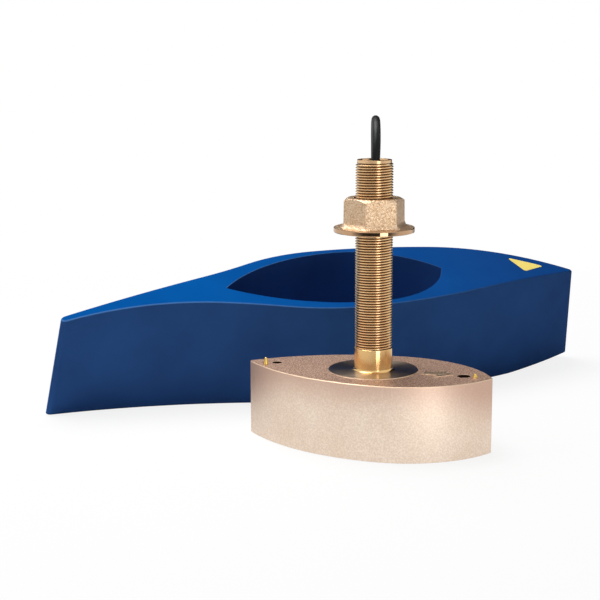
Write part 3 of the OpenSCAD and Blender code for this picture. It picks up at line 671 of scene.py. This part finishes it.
def lofted(name, loops, place=Matrix()):
    """A closed ring-shaped piece: a circle moved to the first loop, extruded to each next, bridged."""
    bpy.ops.object.select_all(action="DESELECT")
    bpy.ops.mesh.primitive_circle_add(vertices=len(loops[0]), radius=MM)
    piece = bpy.context.object
    piece.name = piece.data.name = name
    order = list(range(len(loops[0])))
    bpy.ops.object.mode_set(mode="EDIT")
    bpy.ops.mesh.select_mode(type="EDGE")
    bpy.ops.mesh.select_all(action="SELECT")
    for turn, loop in enumerate(loops):
        if turn:
            bpy.ops.mesh.extrude_edges_move()
        body = bmesh.from_edit_mesh(piece.data)
        body.verts.ensure_lookup_table()
        if turn:
            follows = {}
            for vertex in body.verts:
                for edge in vertex.link_edges if vertex.select else ():
                    other = edge.other_vert(vertex)
                    if not other.select:
                        follows[other.index] = vertex.index
            order = [follows[i] for i in order]
        for i, point in zip(order, loop):
            body.verts[i].co = place @ (Vector(point) * MM)
        bmesh.update_edit_mesh(piece.data)
    body = bmesh.from_edit_mesh(piece.data)
    for edge in body.edges:
        edge.select_set(edge.is_boundary)
    bmesh.update_edit_mesh(piece.data)
    bpy.ops.mesh.bridge_edge_loops()
    bpy.ops.mesh.select_all(action="SELECT")
    bpy.ops.mesh.normals_make_consistent(inside=False)
    bpy.ops.object.mode_set(mode="OBJECT")
    even_shading(piece)
    return piece


nut = lofted("hull_nut_bronze", nut_loops)

# Flange bronze: turned like the shank but more polished and a little pinker, on the flange and in the bore.
nut.data.materials.append(nut_bronze)
nut.data.materials.append(lathe_finish("flange_bronze", "#b08c6a", "#c9a686", 0.06, 0.12))
for face in nut.data.polygons:
    on_flange = face.center.z < (nut_z + flange_t + 0.1) * MM
    face.material_index = 1 if on_flange or face.center.xy.length < (nut_bore_r + 0.6) * MM else 0
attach(nut, "nut")
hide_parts("hull_nut")

# Fairing: one thick moulding in blue polymer that carries the housing under a sloping hull, with an ogive
# bow, hollow flanks aft, a top that is crowned to both ends and a leaf-shaped pocket. It is drawn level,
# in millimetres, and then stood behind the housing on its base, which is cut to the slope of the hull.
fairing_x, fairing_y, fairing_h = -84, 182.5, 117.5
fairing_turn, trim_angle, deadrise = math.radians(43), math.radians(0.8), math.radians(14.4)
fairing_place = Matrix.Translation(Vector((fairing_x, fairing_y, fairing_h)) * MM) @ (
    Matrix.Rotation(fairing_turn, 4, "Z")
    @ Matrix.Rotation(-trim_angle, 4, "Y")
    @ Matrix.Rotation(deadrise, 4, "X"))
bow_x, widest_x, half_w, bow_edge_r, bow_rake = 281, -4, 71.4, 3.6, math.radians(5.4)
forefoot_len, forefoot_rise = 90, 5
turn_x, turn_half_w = -85, 53.9
tail_foot_x, tail_edge_r, tail_rake = -303, 5, math.radians(6.8)
tail_crown_x, tail_crown_r, bow_crown_x, bow_crown_r = -140, 720, 128, 680
pocket_depth, pocket_half_w, pocket_widest, pocket_tip_r = 68.4, 62.3, 16.4, 0.8
pocket_bow_reach, pocket_tail_reach, stem_hole_r = 98.1, 144.4, 18.125
pin_holes, pin_hole_r, pin_hole_depth, drill_over = [(-98, 11), (93, 2)], 3, 8.8, 1
edge_r, base_r, rim_r, floor_r = 1.8, 1.0, 0.9, 0.6
shoulder_z = -8
side_steps, end_steps, round_steps, base_steps, top_steps = 84, 6, 5, 10, 14


def flank_radius(reach, half, tip):
    """Radius of a flank that is square to the beam at its widest and runs smoothly into a tip."""
    return ((reach - tip) ** 2 + half**2 - tip**2) / (2 * (half - tip))


prow_r = flank_radius(bow_x - widest_x, half_w, bow_edge_r)
convex_run, convex_drop = widest_x - turn_x, half_w - turn_half_w
convex_r = (convex_run**2 + convex_drop**2) / (2 * convex_drop)
turn_angle = math.asin(convex_run / convex_r)
turn_normal = Vector((-math.sin(turn_angle), math.cos(turn_angle)))
hollow_span = Vector((tail_foot_x - tail_edge_r - turn_x, tail_edge_r - turn_half_w))
hollow_r = hollow_span.length_squared / (2 * hollow_span.dot(turn_normal))
hollow_at = Vector((turn_x, turn_half_w)) + hollow_r * turn_normal


def fairing_half(x, lean):
    """Half the width of the fairing at a place along it, where its bow leans forward by so much."""
    if x > widest_x:
        ahead = max(0, x - lean - widest_x)
        return math.sqrt(prow_r**2 - ahead**2) - (prow_r - half_w)
    if x > turn_x:
        return math.sqrt(convex_r**2 - (x - widest_x) ** 2) - (convex_r - half_w)
    return hollow_at.y - math.sqrt(hollow_r**2 - (x - hollow_at.x) ** 2)


pocket_bow_r = flank_radius(pocket_bow_reach, pocket_half_w, pocket_tip_r)
pocket_tail_r = flank_radius(pocket_tail_reach, pocket_half_w, pocket_tip_r)
pocket_bow_run = (pocket_bow_reach - pocket_tip_r) * pocket_bow_r / (pocket_bow_r - pocket_tip_r)
pocket_tail_run = (pocket_tail_reach - pocket_tip_r) * pocket_tail_r / (pocket_tail_r - pocket_tip_r)


def pocket_half(x):
    """Half the width of the pocket: the leaf shape of the housing with its clearance and longer tips."""
    r = pocket_bow_r if x > pocket_widest else pocket_tail_r
    return math.sqrt(r**2 - (x - pocket_widest) ** 2) - (r - pocket_half_w)


def crown(x):
    """Height of the fairing's top along it: level round the pocket, falling to both ends."""
    over = max(0, x - bow_crown_x)
    under = max(0, tail_crown_x - x)
    return (math.sqrt(bow_crown_r**2 - over**2) - bow_crown_r
            + math.sqrt(tail_crown_r**2 - under**2) - tail_crown_r)


base_row = fairing_place.to_3x3()[2]


def base(x, y):
    """Height of the hull face, which stands level on the floor and lifts a little under the bow."""
    lift = forefoot_rise * max(0, x - bow_x + forefoot_len) / forefoot_len
    return (lift - fairing_h - base_row[0] * x - base_row[1] * y) / base_row[2]


def cap(half, x, way):
    """The round end of a plan, from its tip to the place where it meets the flank smoothly."""
    tiny = 0.001
    slope = (half(x) - half(x + way * tiny)) / tiny
    turn = math.atan2(1, slope)
    r = half(x) / math.sin(turn)
    middle = x - way * r * math.cos(turn)
    angles = [turn * i / end_steps for i in range(end_steps)]
    return [(middle + way * r * math.cos(a), r * math.sin(a)) for a in angles]


def outline(half, tail_x, front_x):
    """A closed plan: round tail, one flank, round bow, and the other flank mirrored. Its points lie
    closer together towards both ends."""
    crowding = 0.55
    points = cap(half, tail_x, -1)
    for i in range(side_steps + 1):
        even = i / side_steps
        crowded = (1 - math.cos(math.pi * even)) / 2
        x = tail_x + (front_x - tail_x) * (even + (crowded - even) * crowding)
        points.append((x, half(x)))
    points += reversed(cap(half, front_x, 1))
    return points + [(x, -y) for x, y in reversed(points[1:-1])]


def inset(plan, distance):
    """A closed plan moved inwards along its own normals."""
    moved = []
    for i, (x, y) in enumerate(plan):
        before, after = Vector(plan[i - 1]), Vector(plan[(i + 1) % len(plan)])
        along = (after - before).normalized()
        moved.append((x + along.y * distance, y - along.x * distance))
    return moved


def between(start, end, share):
    """A plan part of the way from one plan to another."""
    return [(a + (c - a) * share, b + (d - b) * share) for (a, b), (c, d) in zip(start, end)]


def fairing_plan(z):
    """The fairing's plan at a height: both ends are raked, with their feet outward."""
    tail_x = tail_foot_x + (z + fairing_h) * math.tan(tail_rake)
    lean = -z * math.tan(bow_rake)
    front_x = widest_x + lean + (bow_x - widest_x - bow_edge_r) * prow_r / (prow_r - bow_edge_r)
    return outline(lambda x: fairing_half(x, lean), tail_x, front_x)


# The loops run out over the base from the stem hole, up the flanks, in over the top, and down the pocket
# to its floor, where the hole begins.
pocket_plan = outline(pocket_half, pocket_widest - pocket_tail_run, pocket_widest + pocket_bow_run)
hole_plan = []
for x, y in pocket_plan:
    a = math.atan2(y, x)
    hole_plan.append((stem_hole_r * math.cos(a), stem_hole_r * math.sin(a)))
foot_plan = fairing_plan(-fairing_h)
foot_edge = inset(foot_plan, base_r)
loops = []
for i in range(base_steps + 1):
    loops.append([(x, y, base(x, y)) for x, y in between(hole_plan, foot_edge, i / base_steps)])
loops.append([(x, y, base(x, y) + base_r) for x, y in foot_plan])
top_plan = fairing_plan(shoulder_z)
for i in range(round_steps + 1):
    a = math.pi / 2 * i / round_steps
    ring = inset(top_plan, edge_r * (1 - math.cos(a)))
    loops.append([(x, y, crown(x) - edge_r * (1 - math.sin(a))) for x, y in ring])
shoulder, rim = ring, inset(pocket_plan, -rim_r)
for i in range(1, top_steps):
    loops.append([(x, y, crown(x)) for x, y in between(shoulder, rim, i / top_steps)])
for i in range(round_steps + 1):
    a = math.pi / 2 * i / round_steps
    ring = inset(pocket_plan, -rim_r * (1 - math.sin(a)))
    loops.append([(x, y, -rim_r * (1 - math.cos(a))) for x, y in ring])
for i in range(round_steps + 1):
    a = math.pi / 2 * i / round_steps
    ring = inset(pocket_plan, floor_r * (1 - math.cos(a)))
    loops.append([(x, y, -pocket_depth + floor_r * (1 - math.sin(a))) for x, y in ring])
loops.append([(x, y, -pocket_depth) for x, y in hole_plan])

fairing = lofted("fairing_moulding", loops, fairing_place)
for x, y in pin_holes:
    drill_z = -pocket_depth - (pin_hole_depth - drill_over) / 2
    bpy.ops.mesh.primitive_cylinder_add(
        vertices=32, radius=pin_hole_r * MM, depth=(pin_hole_depth + drill_over) * MM,
        location=fairing_place @ (Vector((x, y, drill_z)) * MM), rotation=fairing_place.to_euler())
    drill = bpy.context.object
    bpy.ops.object.select_all(action="DESELECT")
    fairing.select_set(True)
    bpy.context.view_layer.objects.active = fairing
    drilled = fairing.modifiers.new("drilled", "BOOLEAN")
    drilled.operation = "DIFFERENCE"
    drilled.object = drill
    bpy.ops.object.modifier_apply(modifier="drilled")
    bpy.data.objects.remove(drill)
even_shading(fairing)

# Moulded polymer: deep blue, almost matt, with faint cloudy tone and the fine peel of the mould. Its top
# is lighter aft than at the bow as painted light, its sides take a greyer, lighter blue in cloudy patches
# as a painted sheen, and its edges aft are pale as a painted highlight.
cloud, peel_grain = 70 * MM, 2 * MM
lighter_at, darker_at = -160 * MM, 190 * MM
blue_polymer, tree, shader, place = new_material("blue_polymer")
clouds = add(tree, "ShaderNodeTexNoise", {
    "Vector": place, "Scale": 1 / cloud, "Detail": 4.0, "Roughness": 0.55})
peel = add(tree, "ShaderNodeTexNoise", {"Vector": place, "Scale": 1 / peel_grain, "Detail": 2.0})
# Painted light: the top's tone is lighter aft than at the bow.
heading = fairing_place.to_3x3() @ Vector((1, 0, 0))
along = add(tree, "ShaderNodeVectorMath", {0: place, 1: heading}, operation="DOT_PRODUCT")
stem_along = fairing_place.translation.dot(heading)
aft = add(tree, "ShaderNodeMapRange", {
    0: along.outputs["Value"], 1: stem_along + lighter_at, 2: stem_along + darker_at, 3: 1.0, 4: 0.0})
fore_tone = add(tree, "ShaderNodeMix", {0: clouds.outputs[0], 6: linear("#0d3c7a"), 7: linear("#164788")},
                data_type="RGBA")
aft_tone = add(tree, "ShaderNodeMix", {0: clouds.outputs[0], 6: linear("#004890"), 7: linear("#055aa6")},
               data_type="RGBA")
tone = add(tree, "ShaderNodeMix", {0: aft.outputs[0], 6: fore_tone.outputs[2], 7: aft_tone.outputs[2]},
           data_type="RGBA")
# Painted sheen: faces that turn to the side take a greyer, lighter blue, in cloudy patches.
bare = add(tree, "ShaderNodeNewGeometry")
upward = add(tree, "ShaderNodeSeparateXYZ", {0: bare.outputs["Normal"]})
flat = add(tree, "ShaderNodeMapRange", {0: upward.outputs[2], 1: 0.35, 2: 0.85, 3: 0.0, 4: 1.0})
painted_side_sheen = add(tree, "ShaderNodeMix", {0: clouds.outputs[0], 6: linear("#254070"), 7: linear("#305a98")},
            data_type="RGBA")
sides = add(tree, "ShaderNodeMix", {0: flat.outputs[0], 6: painted_side_sheen.outputs[2], 7: tone.outputs[2]},
            data_type="RGBA")
# Painted highlight: the rounded edges aft are painted pale blue, fading towards the bow.
turning = add(tree, "ShaderNodeMapRange", {0: upward.outputs[2], 1: 0.05, 2: 0.93, 3: -1.0, 4: 1.0})
turned = add(tree, "ShaderNodeMath", {0: turning.outputs[0], 1: turning.outputs[0]}, operation="MULTIPLY")
edges = add(tree, "ShaderNodeMapRange", {0: turned.outputs[0], 3: 0.6, 4: 0.0})
edges = add(tree, "ShaderNodeMath", {0: edges.outputs[0], 1: aft.outputs[0]}, operation="MULTIPLY")
painted_edge_highlight = add(tree, "ShaderNodeMix", {0: edges.outputs[0], 6: sides.outputs[2], 7: linear("#5f93d6")},
           data_type="RGBA")
tree.links.new(painted_edge_highlight.outputs[2], shader.inputs["Base Color"])
matt = add(tree, "ShaderNodeMapRange", {0: clouds.outputs[0], 3: 0.5, 4: 0.66})
tree.links.new(matt.outputs[0], shader.inputs["Roughness"])
shader.inputs["Specular IOR Level"].default_value = 0.004
skin = add(tree, "ShaderNodeBump", {"Height": peel.outputs[0], "Strength": 0.08, "Distance": 0.2 * MM})
tree.links.new(skin.outputs[0], shader.inputs["Normal"])
fairing.data.materials.append(blue_polymer)
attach(fairing, "transducer")
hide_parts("fairing")

# Direction marker: a triangle of yellow plastic that points to the bow. It is let into the top of the
# fairing and stands a hair above it.
marker = copy_of("direction_marker", "direction_marker_inlay")
marker_lift = 0.25 * MM
for vertex in marker.data.vertices:
    vertex.co += fairing_place.to_3x3() @ Vector((0, 0, marker_lift))
bpy.ops.object.shade_smooth_by_angle(angle=smooth_angle)


def mottled(name, dark, light, patch, roughness, metallic=0.0):
    """A material with two close tones in patches of a given size, and a bump of the same grain."""
    material, tree, shader, place = new_material(name)
    grain = add(tree, "ShaderNodeTexNoise", {"Vector": place, "Scale": 1 / patch, "Detail": 4.0})
    tone = add(tree, "ShaderNodeMix", {0: grain.outputs[0], 6: linear(dark), 7: linear(light)},
               data_type="RGBA")
    tree.links.new(tone.outputs[2], shader.inputs["Base Color"])
    gloss = add(tree, "ShaderNodeMapRange", {0: grain.outputs[0], 3: roughness - 0.08, 4: roughness + 0.08})
    tree.links.new(gloss.outputs[0], shader.inputs["Roughness"])
    shader.inputs["Metallic"].default_value = metallic
    relief = add(tree, "ShaderNodeBump", {
        "Height": grain.outputs[0], "Strength": 0.1, "Distance": 0.2 * MM})
    tree.links.new(relief.outputs[0], shader.inputs["Normal"])
    return material


# Moulded yellow plastic: pale, even and half matt.
marker.data.materials.append(mottled("yellow_inlay", "#f6da5e", "#fde88a", 5 * MM, 0.5))
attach(marker, "transducer")
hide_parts("direction_marker")

# Pieces that stay as the model has them: the locating pins, the sounding face and what is sealed
# behind it, and the seal, ties and connector of the cable. Each gets the finish of its material: its
# nodes, a dark and a light tone, the size of a patch in millimetres, the roughness and the metal.
dressed = {
    # Turned brass: yellow and bright, with a breath of tarnish.
    "pin_brass": (["aft_locating_pin", "forward_locating_pin"], "#c9a24e", "#e2c071", 2, 0.2, 1.0),
    # Cast urethane: near black and satin, faintly clouded.
    "cast_urethane": (["acoustic_window"], "#1d1d1f", "#29292c", 8, 0.42, 0.0),
    # Cut rigid foam: buff and dead matt, with the speckle of its cells.
    "rigid_foam": (["element_carrier"], "#cdbf92", "#ded3ad", 2, 0.8, 0.0),
    # Fired ceramic: off-white, smooth and half matt.
    "fired_ceramic": (["high_frequency_ceramic"] + [f"low_frequency_ceramic_{i + 1}" for i in range(6)],
                      "#d9d2c0", "#ece6d8", 3, 0.45, 0.0),
    # Pressed cork: brown crumbs in two tones, matt.
    "cork_backing": (["backing_pad"], "#6f4f2f", "#9a744a", 3, 0.85, 0.0),
    # Lacquered glass fibre: green with a low gloss.
    "circuit_board": (["terminal_board"], "#1e5a2c", "#2d7440", 6, 0.4, 0.0),
    # Enamelled wire on ferrite: copper brown, finely broken up by its turns.
    "wound_ferrite": (["matching_transformer"], "#5f3720", "#8a5433", 1, 0.5, 0.0),
    # Cast brass: browner and duller than the pins.
    "sensor_brass": (["temperature_sensor"], "#a47a3c", "#c39a55", 2, 0.28, 1.0),
    # Poured epoxy: dark grey with the soft gloss of a poured face.
    "potting_resin": (["potting"], "#2b2826", "#3a3633", 6, 0.35, 0.0),
    # Moulded rubber: black and matt.
    "seal_rubber": (["stem_seal"], "#151517", "#202023", 3, 0.6, 0.0),
    # Woven strap: dark grey and matt, with a fine grain.
    "tie_strap": (["coil_tie_1", "coil_tie_2"], "#2a2a2e", "#3c3c41", 1.2, 0.7, 0.0),
    # Moulded rubber, a little smoother: black with a faint sheen.
    "boot_rubber": (["connector_boot"], "#161618", "#232326", 2.5, 0.55, 0.0),
    # Moulded nylon: charcoal and satin.
    "connector_nylon": (["connector_body", "coupling_ring", "contact_insert"],
                        "#202024", "#2f2f34", 2, 0.42, 0.0),
    # Gold plate: warm yellow and nearly a mirror.
    "contact_gold": (["contact_pins"], "#c9a24e", "#e8c878", 1, 0.18, 1.0),
}
for name, (nodes, dark, light, patch, roughness, metallic) in dressed.items():
    finish = mottled(name, dark, light, patch * MM, roughness, metallic)
    for node in nodes:
        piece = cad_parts[node]
        piece.data.materials.clear()
        piece.data.materials.append(finish)
